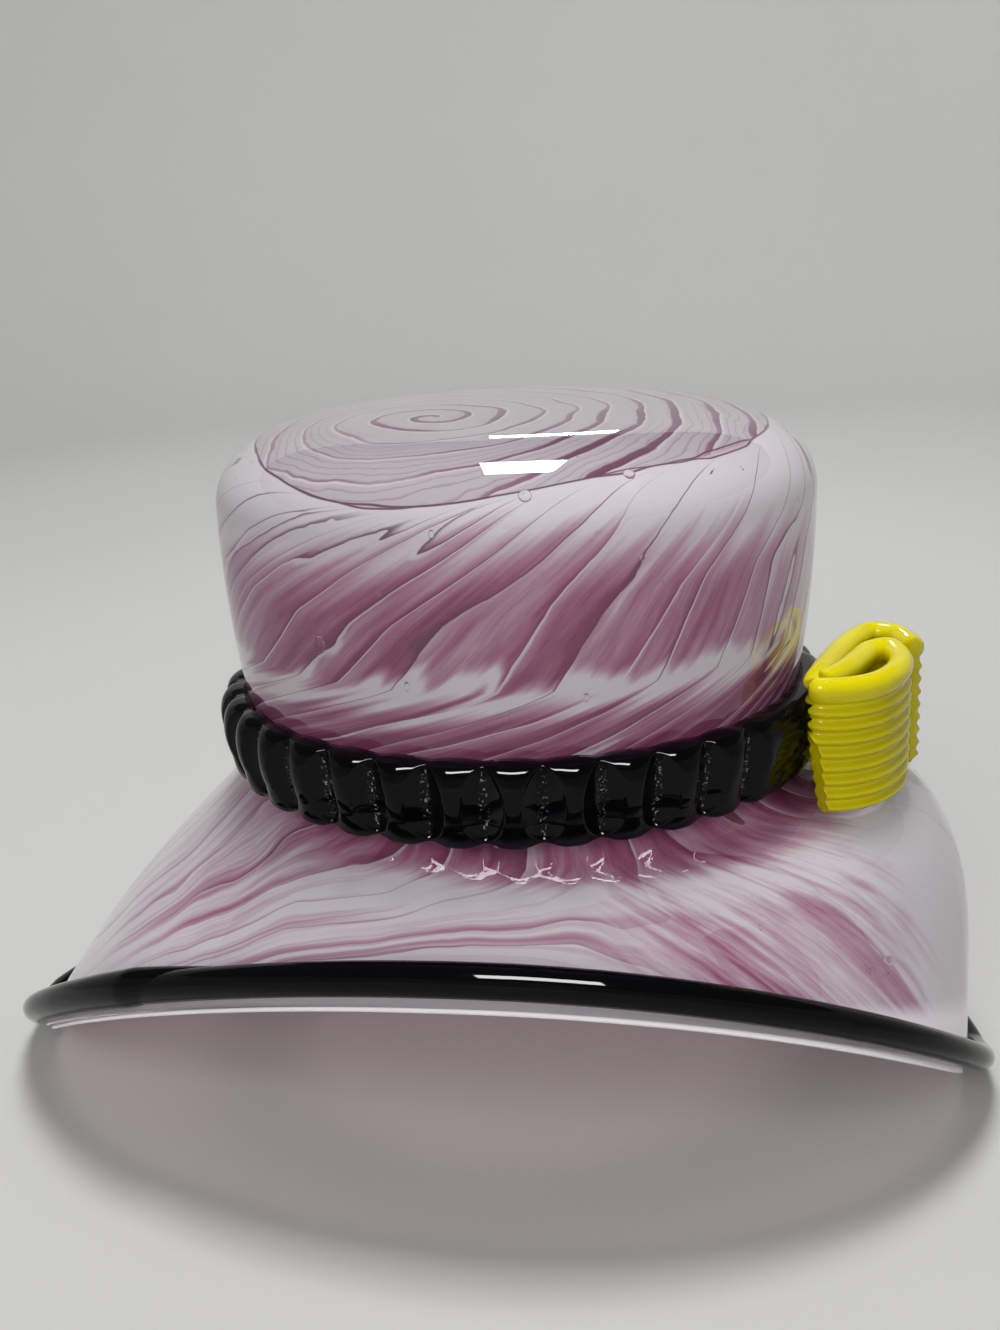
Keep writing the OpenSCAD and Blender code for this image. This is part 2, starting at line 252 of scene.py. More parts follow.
def outer_profiles(hat, t):
    """Radius, height and stretch of the outer skin, for places round the brim by steps from the top.

    The top is a superellipse. The stretch is 0 to 1 over the top, 1 to 2 down the wall, and 2 to 3 from the
    brim's root to its edge.
    """
    t = t[:, None]
    top_s = np.linspace(0, 1, 56)[None]
    u = pi / 2 * top_s ** (hat.top_round / 2)
    hat_h = hat.root_h + hat.wall_h + hat.top_drop
    top_r = hat.crown_r * np.sin(u) ** (2 / hat.top_round) + 0 * t
    top_z = hat_h - hat.top_drop * (1 - np.maximum(0, np.cos(u)) ** (2 / hat.top_flat)) + 0 * t
    wall_s = np.linspace(0, 1, 41)[None, 1:]
    wall_r = hat.crown_r - hat.wall_taper * wall_s**2 + 0 * t
    wall_z = hat.root_h + hat.wall_h * (1 - wall_s) + 0 * t
    slope = round_four(t, LEAVE_SLOPE)
    hollow_s = np.linspace(0, 1, 25)[None, 1:]
    turn = (pi / 2 - slope) * hollow_s
    hollow_r = hat.crown_r - hat.wall_taper + hat.root_r * (1 - np.cos(turn))
    hollow_z = hat.root_h - hat.root_r * np.sin(turn)
    start = np.stack([hollow_r[:, -1], hollow_z[:, -1]], -1)[:, None]
    brim_s = np.linspace(0, 1, 61)[None, 1:]
    brim = brim_curve(hat, t, start, slope, brim_s[..., None])
    radius = np.concatenate([top_r, wall_r, hollow_r, brim[..., 0]], 1)
    height = np.concatenate([top_z, wall_z, hollow_z, brim[..., 1]], 1)
    shares = (top_s, 1 + wall_s, 2 + 0.25 * hollow_s, 2.25 + 0.75 * brim_s)
    stretch = np.concatenate([share + 0 * t for share in shares], 1)
    return radius, height, stretch


def hat_skin(hat):
    """Turn, radius, height and stretch of the outer skin, all round the hat."""
    t = np.arange(ROUND_N) * 2 * pi / ROUND_N
    return (edge_turn(hat, t), *outer_profiles(hat, t))


def thinning(stretch):
    """Share of the glass's thickness that is left, falling to under half at the edge, which was thinned while
    molten.
    """
    melted_from, lost = 2.86, 0.55
    return 1 - lost * np.clip((stretch - melted_from) / (3 - melted_from), 0, 1) ** 1.5


def inset(radius, height, depth):
    """Profiles moved into the glass by a depth, square to themselves."""
    run, fall = np.gradient(radius, axis=1), np.gradient(height, axis=1)
    run[:, 0], fall[:, 0] = 1, 0
    size = np.hypot(run, fall)
    return radius + depth * fall / size, height - depth * run / size


def spin(turn, radius, height):
    """Points of profiles turned about the crown's axis."""
    x, y = AXIS[0] + radius * np.cos(turn), AXIS[1] + radius * np.sin(turn)
    return np.stack([x, y, height + 0 * turn], -1)


def quads(rows, cols, ring_rows=False, ring_cols=False, flip=False):
    """Quads of a grid of points, closed along either way where asked."""
    i = np.arange(rows if ring_rows else rows - 1)[:, None]
    j = np.arange(cols if ring_cols else cols - 1)[None]
    i2, j2 = (i + 1) % rows, (j + 1) % cols
    faces = np.stack([i * cols + j, i * cols + j2, i2 * cols + j2, i2 * cols + j], -1).reshape(-1, 4)
    return faces[:, ::-1] if flip else faces


def ring_quads(rows, cols, ring_rows=False):
    """Outward quads of rings of points, each split from its second corner."""
    return np.roll(quads(rows, cols, ring_rows, True), -1, 1)


def tube_faces(rows, cols):
    """Quads of rings of points, and the triangles to the two poles that follow them."""
    lap = np.arange(cols)
    after, pole, last = np.roll(lap, -1), rows * cols, (rows - 1) * cols
    first_cap = np.stack([after, lap, pole + 0 * lap], -1)
    last_cap = np.stack([last + lap, last + after, pole + 1 + 0 * lap], -1)
    return ring_quads(rows, cols), np.concatenate([first_cap, last_cap])


def make_piece(name, points, faces, nodes, materials, picks=None, values=None):
    """Finishes a piece: a smooth mesh with its materials, riding on the hat in place of its node."""
    mesh = bpy.data.meshes.new(name)
    mesh.from_pydata(points.tolist(), [], [face for part in faces for face in part.tolist()])
    mesh.polygons.foreach_set("use_smooth", np.ones(len(mesh.polygons), bool))
    for key, data in (values or {}).items():
        layer = mesh.attributes.new(key, "FLOAT", "POINT").data
        layer.foreach_set("value", np.ascontiguousarray(data, np.float32))
    for look in materials:
        mesh.materials.append(look)
    if picks is not None:
        mesh.polygons.foreach_set("material_index", picks)
    if mesh.validate():
        raise RuntimeError(f"{name} has faulty faces")
    piece = bpy.data.objects.new(name, mesh)
    bpy.context.scene.collection.objects.link(piece)
    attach(piece, "root")
    if nodes:
        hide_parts(*nodes)


def skin_points(turn, radius, height):
    """A pole and the rings of points of one skin."""
    pole = np.array([[AXIS[0], AXIS[1], height[0, 0]]])
    return np.concatenate([pole, spin(turn[:, None], radius[:, 1:], height[:, 1:]).reshape(-1, 3)])


def shell_faces(rings_a, rings_b, start_b):
    """Faces of a shell between two skins, each a pole and rings of points, closed at the edge."""
    i = np.arange(ROUND_N)
    after = np.roll(i, -1)
    first_a, first_b = 1 + i * rings_a, start_b + 1 + i * rings_b
    last_a, last_b = first_a + rings_a - 1, first_b + rings_b - 1
    top = np.stack([0 * i, first_a, first_a[after]], -1)
    under = np.stack([start_b + 0 * i, first_b[after], first_b], -1)
    skin = 1 + quads(ROUND_N, rings_a, ring_rows=True)
    lining = start_b + 1 + np.roll(quads(ROUND_N, rings_b, ring_rows=True, flip=True), 1, 1)
    edge = np.stack([last_a, last_b, last_b[after], last_a[after]], -1)
    return top, under, skin, lining, edge


def shell(turn, outer, inner):
    """Points and faces of a shell from both skins' radius and height; the inner skin is coarser."""
    count = inner[0].shape[1]
    keep = np.unique(np.append(np.arange(0, count, 4), count - 1))
    outside = skin_points(turn, *outer)
    inside = skin_points(turn, *(profile[:, keep] for profile in inner))
    faces = shell_faces(outer[0].shape[1] - 1, len(keep) - 1, len(outside))
    return np.concatenate([outside, inside]), faces


def wrapped(turn):
    """A turn brought to within half a turn either way."""
    return (turn + pi) % (2 * pi) - pi


def crease_radius(turn):
    """Plan radius of the crease between the top and the wall: even, with a swell in front."""
    return CREASE_R + CREASE_SWELL * np.exp(-(wrapped(turn - CREASE_AT) / CREASE_SPREAD) ** 2)


def swirl_flow(hat, turn, radius, height, stretch):
    """How the swirl's lines lie: the turn by which they were dragged, and the way from the crease.

    Up the wall they lean evenly, and more and more near the crease, as a logarithm of the way left.
    Over the brim they run out, and away from the bow they bend round along the turned-up front.
    """
    turn = turn[:, None]
    run = np.diff(radius, axis=1, prepend=radius[:, :1])
    fall = np.diff(height, axis=1, prepend=height[:, :1])
    way = np.cumsum(np.hypot(run, fall), 1)
    fold = crease_radius(turn)
    last = np.maximum(((radius < fold) & (stretch <= 1)).sum(1, keepdims=True) - 1, 0)
    near_r, far_r = (np.take_along_axis(radius, last + k, 1) for k in (0, 1))
    near_way, far_way = (np.take_along_axis(way, last + k, 1) for k in (0, 1))
    drop = way - near_way - (far_way - near_way) * (fold - near_r) / (far_r - near_r)
    level = np.maximum(height, hat.root_h)
    lean = (LEAN - LEAN_SIDE * np.cos(turn)) * (level - LEAN_Z)
    near = 0.16 * np.log(0.022 / (np.clip(drop, 0, 0.021) + 0.001))
    low = FOOT_LEAN * np.clip(FOOT_Z - level, 0, None)
    out = np.clip(stretch - 2, 0, 1)
    front = np.maximum(0, -np.sin(turn)) ** 1.2
    by_bow = 0.5 + 0.5 * np.tanh((wrapped(turn) + 1.10) / 0.42)
    right = np.cos(turn)
    bent = out**2.2 * (0.20 + 1.25 * front * (1 - by_bow))
    brim = bent - out * (0.25 * right + 0.50 * np.maximum(0, right))
    return {"drag": -lean - near + low + brim, "drop": drop, "along": stretch}


class Wire:
    """A value inside a material. Arithmetic on it adds Math nodes."""

    def __init__(self, tree, socket):
        self.tree, self.socket = tree, socket

    @staticmethod
    def node(tree, kind, settings, inputs, output=0):
        """A node with its settings, and with values or links for its sockets."""
        node = tree.nodes.new(kind)
        for key, value in settings.items():
            if key == "stops":
                ramp = node.color_ramp.elements
                while len(ramp) < len(value):
                    ramp.new(0.5)
                for stop, (place, shade) in zip(ramp, value):
                    stop.position, stop.color = place, (*shade, 1)
            else:
                setattr(node, key, value)
        for key, value in inputs.items():
            if isinstance(value, Wire):
                tree.links.new(value.socket, node.inputs[key])
            elif node.inputs[key].type == "RGBA":
                node.inputs[key].default_value = (*value, 1)
            else:
                node.inputs[key].default_value = value
        return Wire(tree, node.outputs[output])

    def add(self, kind, settings, inputs, output=0):
        """A node in the same material."""
        return Wire.node(self.tree, kind, settings, inputs, output)

    def math(self, operation, *others):
        """A Math node on this value and others."""
        return self.add("ShaderNodeMath", {"operation": operation}, dict(enumerate((self, *others))))

    __add__ = __radd__ = partialmethod(math, "ADD")
    __sub__ = partialmethod(math, "SUBTRACT")
    __mul__ = __rmul__ = partialmethod(math, "MULTIPLY")
    __mod__ = partialmethod(math, "FLOORED_MODULO")
    __pow__ = partialmethod(math, "POWER")

    def __rsub__(self, other):
        return self.add("ShaderNodeMath", {"operation": "SUBTRACT"}, {0: other, 1: self})

    def ease(self, low, high):
        """0 below low, 1 above high, and a smooth step between."""
        return self.add("ShaderNodeMapRange", {"interpolation_type": "SMOOTHSTEP"},
                        {"Value": self, "From Min": low, "From Max": high})

    def blend(self, first, second):
        """A colour mixed from first to second by this value."""
        return self.add("ShaderNodeMix", {"data_type": "RGBA"}, {0: self, 6: first, 7: second}, 2)

    def ramp(self, stops):
        """A colour from a ramp of (place, colour) stops."""
        return self.add("ShaderNodeValToRGB", {"stops": stops}, {0: self})

    def at(self, part):
        """One component of a vector."""
        return self.add("ShaderNodeSeparateXYZ", {}, {0: self}, part)


def material(name, build, *settings):
    """A node material, made once, with the shader that build gives."""
    made = bpy.data.materials.get(name)
    if made is None:
        made = bpy.data.materials.new(name)
        made.use_nodes = True
        tree = made.node_tree
        tree.nodes.clear()
        output = tree.nodes.new("ShaderNodeOutputMaterial")
        tree.links.new(build(tree, *settings).socket, output.inputs["Surface"])
    return made


def let_through(shader, tint):
    """The shader as it is seen; lamps shine through it with a tint."""
    through = shader.add("ShaderNodeBsdfTransparent", {}, {"Color": tint})
    shadow = shader.add("ShaderNodeLightPath", {}, {}, "Is Shadow Ray")
    return shader.add("ShaderNodeMixShader", {}, {0: shadow, 1: shader, 2: through})


def glowing(shader, tint, share):
    """The shader with a share of light that comes through it from behind."""
    glow = shader.add("ShaderNodeBsdfTranslucent", {}, {"Color": tint})
    return shader.add("ShaderNodeMixShader", {}, {0: share, 1: shader, 2: glow})


def surface(tree, inputs):
    """A Principled shader."""
    return Wire.node(tree, "ShaderNodeBsdfPrincipled", {}, inputs)


def bumps(height, strength, distance):
    """A normal that is bumped by a height."""
    return height.add("ShaderNodeBump", {}, {"Strength": strength, "Distance": distance, "Height": height})


def noise(place, scale, detail=3.0, rough=0.5, warp=0.0):
    """Soft noise at a place."""
    return place.add("ShaderNodeTexNoise", {}, {"Vector": place, "Scale": scale, "Detail": detail,
                                                "Roughness": rough, "Distortion": warp})


def attribute(tree, name):
    """A value that the mesh holds for each of its points."""
    return Wire.node(tree, "ShaderNodeAttribute", {"attribute_name": name}, {}, "Fac")


def object_place(tree):
    """Object coordinates, from the foot of the crown's axis."""
    place = Wire.node(tree, "ShaderNodeTexCoord", {}, {}, "Object")
    return place.add("ShaderNodeVectorMath", {"operation": "SUBTRACT"}, {0: place, 1: tuple(AXIS)})


def ring_place(turn, along):
    """A place on a circle, so that noise over a turn has no seam."""
    return turn.add("ShaderNodeCombineXYZ", {},
                    {0: turn.math("COSINE"), 1: turn.math("SINE"), 2: along * 0.12})


def swirl_lines(tree):
    """The swirl's lines at each point: a sawtooth over the dragged turn, and a number for each line.

    Near the bow the brim's streaks fan out straight.
    """
    place = object_place(tree)
    x, y, z = (place.at(k) for k in range(3))
    drag, drop, along = (attribute(tree, name) for name in ("drag", "drop", "along"))
    broad, fine = noise(place, 20.0, 2.0), noise(place, 75.0, 3.0, 0.55)
    turn = y.math("ARCTAN2", x)
    on_brim = along.ease(2.08, 2.30)
    flow = drag + turn + (noise(place, 40.0, 2.0) - 0.5) * on_brim * 0.20
    spun, fanned = ring_place(flow, along), ring_place(turn - along * 0.60, along)
    near_bow = (turn + 0.55).math("COSINE").ease(0.76, 0.94) * on_brim
    stray = (noise(spun, 5.0, 1.0) - 0.5) * 3.2 + (broad - 0.5) * 1.4 + (fine - 0.5) * 0.30
    phase = flow * (FOLDS / (2 * pi)) + stray * (1 - on_brim * 0.55)
    line = phase.math("FLOOR")
    own = line.add("ShaderNodeTexWhiteNoise", {"noise_dimensions": "1D"}, {"W": line % 97.0})
    saw = phase.math("FRACT")
    return SimpleNamespace(place=place, x=x, y=y, z=z, drop=drop, along=along, broad=broad, fine=fine,
                           turn=turn, on_brim=on_brim, spun=spun, fanned=fanned, near_bow=near_bow,
                           own=own, saw=saw)


def drawn_noise(lines, scale, fan_scale, detail, rough):
    """Noise drawn out along the lines, and near the bow along the fan."""
    drawn = noise(lines.spun, scale, detail, rough)
    return drawn + (noise(lines.fanned, fan_scale, detail, rough) - drawn) * lines.near_bow


def wall_pink(lines):
    """Share of pink up the wall: most at the foot, and at the front above a white belt."""
    streak = noise(lines.spun, 8.0, 2.0, 0.5)
    level = lines.z + (streak - 0.5) * 0.020 + (lines.broad - 0.5) * 0.010 + (lines.own - 0.5) * 0.004
    shoulder = (level - (lines.turn + 0.9).math("COSINE") * 0.0045).ease(0.107, 0.1245)
    upper = level.ease(0.0955, 0.1000) * (1 - shoulder)
    lower = 1 - level.ease(0.0880, 0.0945)
    facing = (lines.turn + 1.6).math("COSINE").ease(0.0, 0.95)
    return upper * (facing * 0.66 + 0.25) + lower * 1.02 + 0.16 - shoulder * 0.10


def pale_tips(lines):
    """Share of plain white at the brim's side tips and edge."""
    along, right = lines.along, lines.turn.math("COSINE")
    left_tip = along.ease(2.48, 2.80) * (0 - right).ease(0.58, 0.90)
    right_tip = along.ease(2.20, 2.45) * right.ease(0.90, 0.985)
    return (left_tip + right_tip + along.ease(2.90, 2.96)).math("MINIMUM", 1.0)


def brim_pink(lines, tips):
    """Share of pink down the brim: full in the hollow, then streaks, with a pale belt in front."""
    along, outer = lines.along, lines.along.ease(2.16, 2.34)
    streaks = drawn_noise(lines, 9.0, 11.0, 3.0, 0.6).ease(0.44, 0.66)
    front = (lines.turn + 1.0).math("COSINE").ease(0.1, 0.8)
    pale = along.ease(2.27, 2.36) * (1 - along.ease(2.44, 2.56)) * front
    streaked = (streaks * 0.46 + 0.30 + lines.near_bow * 0.09) * outer
    return streaked * (1 - tips * 0.8) * (1 - pale * 0.5) + (1 - outer) * 1.02


def folded_colour(lines, colours):
    """Folds down the wall and brim: each goes from white to pink, a thin crease and a white lip."""
    on_brim, near_bow, saw, own = lines.on_brim, lines.near_bow, lines.saw, lines.own
    tips = pale_tips(lines)
    pink = wall_pink(lines) * (1 - on_brim) + brim_pink(lines, tips) * on_brim
    fibre = drawn_noise(lines, 21.0, 26.0, 4.0, 0.66)
    folds = (saw ** 1.4 * 0.42 + own * 0.22 - 0.32) * (1 - near_bow * 0.75)
    depth = pink * (folds + 0.74) + (fibre - 0.5) * (pink * 0.95 + 0.10 + on_brim * (1 - tips) * 0.55)
    shades = [(0.0, colours.white), (0.16, colours.white), (0.42, colours.lilac), (0.74, colours.mauve),
              (1.0, colours.plum)]
    folded = depth.math("MAXIMUM", 0.0).ramp(shades)
    strong = own.ease(0.10, 0.55) * (1 - on_brim * 0.55) * (1 - near_bow * 0.85)
    thin = saw.ease(0.90, 0.985) * (1 - saw.ease(0.993, 1.0)) * strong * lines.drop.ease(0.0, 0.004) * 0.85
    lip = (1 - saw.ease(0.03, 0.10)) * strong * 0.8
    return thin.blend(lip.blend(folded, colours.white), colours.crease)


def ringed_colour(lines, colours):
    """Spiral rings on the top, bolder to the right and at the start, with fine strands."""
    broad, fine = lines.broad, lines.fine
    off_x, off_y = lines.x + SPIRAL_LEFT, lines.y + SPIRAL_FRONT
    far = (off_x * off_x + off_y * off_y).math("SQRT")
    lap = off_y.math("ARCTAN2", off_x) * (1 / (2 * pi))
    rings = far * SPIRAL_RINGS - lap + (broad - 0.5) * 2.4 + (fine - 0.5) * 0.35
    saw = rings.math("FRACT")
    weight = noise(lines.place, 40.0, 1.0).ease(0.36, 0.68)
    bold = (off_x.ease(0.004, 0.022) + 1 - far.ease(0.014, 0.020)).math("MINIMUM", 1.0) * 0.8 + 0.2
    broader = saw + weight * bold * 0.16
    line = broader.ease(0.88, 0.95) * (1 - saw.ease(0.975, 1.0)) * (weight * 0.4 + 0.2 + bold * 0.4)
    strand = (rings * 4.0 + (fine - 0.5) * 1.2).math("FRACT")
    strands = strand.ease(0.70, 0.95) * (1 - strand.ease(0.96, 1.0)) * lines.drop.ease(-0.022, -0.010)
    start = 1 - far.ease(0.012, 0.021)
    lip = (1 - saw.ease(0.03, 0.12)) * 0.65
    depth = saw ** 3.0 * (weight * 0.5 + 0.10 + bold * 0.35 + start * 0.35) + (fine - 0.5) * 0.22
    shades = [(0.0, colours.milk), (0.2, colours.milk), (0.65, colours.lilac), (1.0, colours.mauve)]
    ringed = lip.blend(depth.math("MAXIMUM", 0.0).ramp(shades), colours.white)
    ringed = (strands * 0.46).blend(ringed, colours.mauve)
    return (line * 0.9).blend(ringed, colours.crease)


def swirl_colour(tree, colours):
    """Folds and rings, joined along a crease that opens here and there, with a pale thin edge painted
    brighter as glow.
    """
    lines = swirl_lines(tree)
    brink = lines.drop + (lines.broad - 0.5) * 0.0036 + (lines.fine - 0.5) * 0.0006
    top, wall = ringed_colour(lines, colours), folded_colour(lines, colours)
    joined = brink.ease(-0.0001, 0.0001).blend(top, wall)
    gap = noise(lines.place, 60.0, 1.0).ease(0.46, 0.68) * 0.0008
    from_gap = brink.math("ABSOLUTE") - gap
    inside = 1 - from_gap.ease(-0.0002, 0.0001)
    rim = 1 - from_gap.math("ABSOLUTE").ease(0.00010, 0.00030)
    joined = (inside * 0.55).blend(joined, colours.lilac)
    joined = (rim * 0.9).blend(joined, colours.crease)
    # Along the edge the white is painted brighter, a glow that lifts the trail's shade
    return lines.along.ease(2.87, 2.92).blend(joined, colours.pale_edge_glow)


def swirl_shader(tree, colours):
    """Swirled glass under the clear glass: it passes a little light and has no gloss of its own."""
    shade = swirl_colour(tree, colours)
    body = surface(tree, {"Base Color": shade, "Roughness": 0.6, "Specular IOR Level": 0.0})
    return let_through(glowing(body, colours.lilac, 0.15), colours.passed)


def lining_shader(tree, colours):
    """The same glass on the inside of the hat, where its own surface shines."""
    place = object_place(tree)
    shade = noise(place, 30.0, 4.0, 0.6, 1.5).ramp([(0.35, colours.white), (0.75, colours.lilac)])
    rough = noise(place, 90.0) * 0.1 + 0.04
    body = surface(tree, {"Base Color": shade, "Roughness": rough, "Coat Weight": 0.5})
    return let_through(glowing(body, colours.lilac, 0.15), colours.passed)


def clear_shader(tree, colours):
    """Fire-polished clear glass with a faint wave; light passes it without a dark shadow."""
    normal = bumps(noise(object_place(tree), 18.0, 1.0), 0.08, 0.004)
    glass = normal.add("ShaderNodeBsdfGlass", {},
                       {"Color": colours.clear, "Roughness": 0.0, "IOR": GLASS_IOR, "Normal": normal})
    return let_through(glass, colours.clear)


def bubble_shader(tree):
    """Bubbles in the clear glass. They bend light as denser beads would, not as air does."""
    bead = Wire.node(tree, "ShaderNodeBsdfGlass", {}, {"Roughness": 0.0, "IOR": GLASS_IOR})
    return let_through(bead, (1, 1, 1))


def black_shader(tree, colours):
    """Black glass, fire polished, with a line of seeds in the crease of every nip."""
    place = object_place(tree)
    wave = noise(place, 60.0, 2.0)
    seeds = noise(place, 1800.0, 2.0).ease(0.58, 0.68) * attribute(tree, "nip").ease(0.80, 0.97)
    shade = seeds.blend(colours.black, colours.seed)
    rough = wave * 0.05 + 0.01 + seeds * 0.3
    return surface(tree, {"Base Color": shade, "Roughness": rough, "Specular IOR Level": 0.12,
                          "Normal": bumps(wave, 0.10, 0.002)})


def yellow_shader(tree, colours):
    """Opaque yellow glass, fire polished and a little cloudy."""
    place = object_place(tree)
    cloud = noise(place, 60.0, 3.0)
    shade = cloud.ramp([(0.3, [c * 0.86 for c in colours.yellow]), (0.7, colours.yellow)])
    rough = noise(place, 120.0) * 0.1 + 0.05
    body = surface(tree, {"Base Color": shade, "Roughness": rough, "Specular IOR Level": 0.35,
                          "Normal": bumps(cloud, 0.06, 0.002)})
    return glowing(body, colours.yellow, 0.12)


def cloth_shader(tree, colours):
    """Dull pale cloth of the floor and backdrop."""
    place = Wire.node(tree, "ShaderNodeTexCoord", {}, {}, "Object")
    darker = [c * 0.97 for c in colours.floor]
    shade = noise(place, 3.0, 2.0).ramp([(0.3, darker), (0.7, colours.floor)])
    return surface(tree, {"Base Color": shade, "Roughness": 0.9, "Specular IOR Level": 0.1})


def band_points(hat, trails):
    """The band: a flattened half round carried round the crown, lobed, with a nip between lobes.

    The lobes are a cosine of the phase. A nip is an eye that comes to a point at the band's upper and lower
    edge, and falls to a crease in its middle.
    """
    per, cols = 40, 56
    n = trails.pinches * per
    turn = (trails.pinch_at + (np.arange(n) - n / 2) * 2 * pi / n)[:, None]
    lean = np.linspace(pi / 2, -pi / 2, cols)[None]
    level, face = np.sin(lean), np.maximum(0, np.cos(lean))
    phase = (turn - trails.pinch_at) * trails.pinches / (2 * pi)
    off = phase - np.round(phase)
    ease = np.clip(np.maximum(trails.plain_from - turn, turn - trails.plain_to) / radians(6), 0, 1)
    lobe = 0.5 + 0.5 * np.cos(2 * pi * off)
    width = 0.37 * np.maximum(0, 1 - ((level - 0.06) / 0.92) ** 2) ** 0.60 + 0.004
    nip = np.maximum(0, 1 - np.abs(off) / width) ** 0.6 * np.clip(width / 0.12, 0, 1)
    band_z = hat.root_h + trails.band_rise
    scallop = 1 - ease * lobe**2 * np.where(level < 0, 0.10, 0.045)
    z = band_z + trails.band_h / 2 * level * scallop
    pinch = 0.56 * face * lobe + 0.64 * face**0.7 * nip
    thick = trails.band_t * face**0.6 - trails.pinch_depth * ease * pinch
    front = spin(turn, wall_radius(hat, z) + thick, z)
    back_level = np.linspace(-1, 1, 10)[None, 1:-1]
    back_z = band_z + trails.band_h / 2 * back_level * 0.88 + 0 * turn
    back = spin(turn, wall_radius(hat, back_z) - BAND_SINK, back_z)
    return np.concatenate([front, back], 1), np.concatenate([nip * ease + 0 * face, 0 * back_z], 1)


def trail_points(hat, trails):
    """The edge trail: a round carried along the outside of the brim, a little above its edge.

    It is slimmer at the back, thickens as an exponential towards its end, laps over its start there and
    tapers away to a wedge on the upper side. Places along it are counted 64 to the full way round.
    """
    steps, around, full = 760, 28, 64
    first, last = -2.2, 67.6
    at = np.linspace(first, last, steps)
    t = trails.trail_at + at * 2 * pi / full
    radius, height = outer_profiles(hat, t)[:2]
    thick = trails.trail_r * (1 - trails.trail_slim * np.clip(np.sin(t) / 0.22, 0, 1))
    thick = thick + trails.trail_start * 0.75 * np.exp((at - full) / 7)
    taper = np.clip((at - 64.6) / 3.0, 0, 1)
    slim = thick * (1 - 0.95 * taper**1.1)
    aside = (thick - slim) * 0.95
    thick = np.maximum(slim * np.clip(0.25 + (at - first) / 3.6, 0, 1), 0.0002)
    apart = np.hypot(np.diff(radius, axis=1), np.diff(height, axis=1))
    travel = np.concatenate([np.zeros((steps, 1)), np.cumsum(apart, 1)], 1)
    want = travel[:, -1] - hat.clear_stop - trails.trail_set - aside
    k = np.clip((travel < want[:, None]).sum(1) - 1, 0, radius.shape[1] - 2)
    row = np.arange(steps)
    start = np.stack([radius[row, k], height[row, k]], -1)
    way = np.stack([radius[row, k + 1], height[row, k + 1]], -1) - start
    share = (want - travel[row, k]) / apart[row, k]
    foot = start + share[:, None] * way
    way /= np.linalg.norm(way, axis=1, keepdims=True)
    out = np.stack([-way[:, 1], way[:, 0]], -1)
    middle = foot + np.maximum(thick * 0.3, thick - trails.trail_sink)[:, None] * out
    roll = np.linspace(0, 2 * pi, around, endpoint=False)[None, :, None]
    ring = np.cos(roll) * way[:, None] - np.sin(roll) * out[:, None]
    ring = middle[:, None] + thick[:, None, None] * ring
    return spin(edge_turn(hat, t)[:, None], ring[..., 0], ring[..., 1])


def smooth_path(stations, steps):
    """A curve through stations: cubics whose slope at each station is that of the chord past it."""
    p = np.asarray(stations)
    gap = np.linalg.norm(np.diff(p, axis=0), axis=1)
    place = np.concatenate([[0], np.cumsum(gap)])
    slope = np.gradient(p, place, axis=0)
    s = np.linspace(0, place[-1], steps)
    k = np.clip(np.searchsorted(place, s, "right") - 1, 0, len(gap) - 1)
    h = gap[k][:, None]
    u = ((s - place[k]) / gap[k])[:, None]
    return ((2 * u**3 - 3 * u**2 + 1) * p[k] + (u**3 - 2 * u**2 + u) * h * slope[k]
            + (3 * u**2 - 2 * u**3) * p[k + 1] + (u**3 - u**2) * h * slope[k + 1])


def ribbon_section(bow, groove):
    """Half thickness of the ribbon up its height: soft ribs under one thick round rod."""
    per_rib, on_rim = 12, 24
    low = bow.ribbon_h - bow.rim_h
    rib = (np.arange((bow.ribs - 1) * per_rib) + 0.5) / per_rib
    half_low = bow.ribbon_t / 2 - groove * (0.5 + 0.5 * np.cos(2 * pi * rib))
    half_low *= np.sqrt(np.clip(rib / 0.55, 0.02, 1))
    rim = (1 - np.cos(pi * (np.arange(on_rim) + 0.5) / on_rim)) / 2
    half_rim = 1.12 * bow.ribbon_t / 2 * np.sqrt(np.maximum(0, 1 - (rim * 2 - 1) ** 2 * 0.99))
    half_rim = np.where(rim < 0.5, np.maximum(half_rim, bow.ribbon_t / 2 - groove), half_rim)
    heights = np.concatenate([rib * low / (bow.ribs - 1), low + rim * bow.rim_h])
    return heights, np.concatenate([half_low, half_rim])


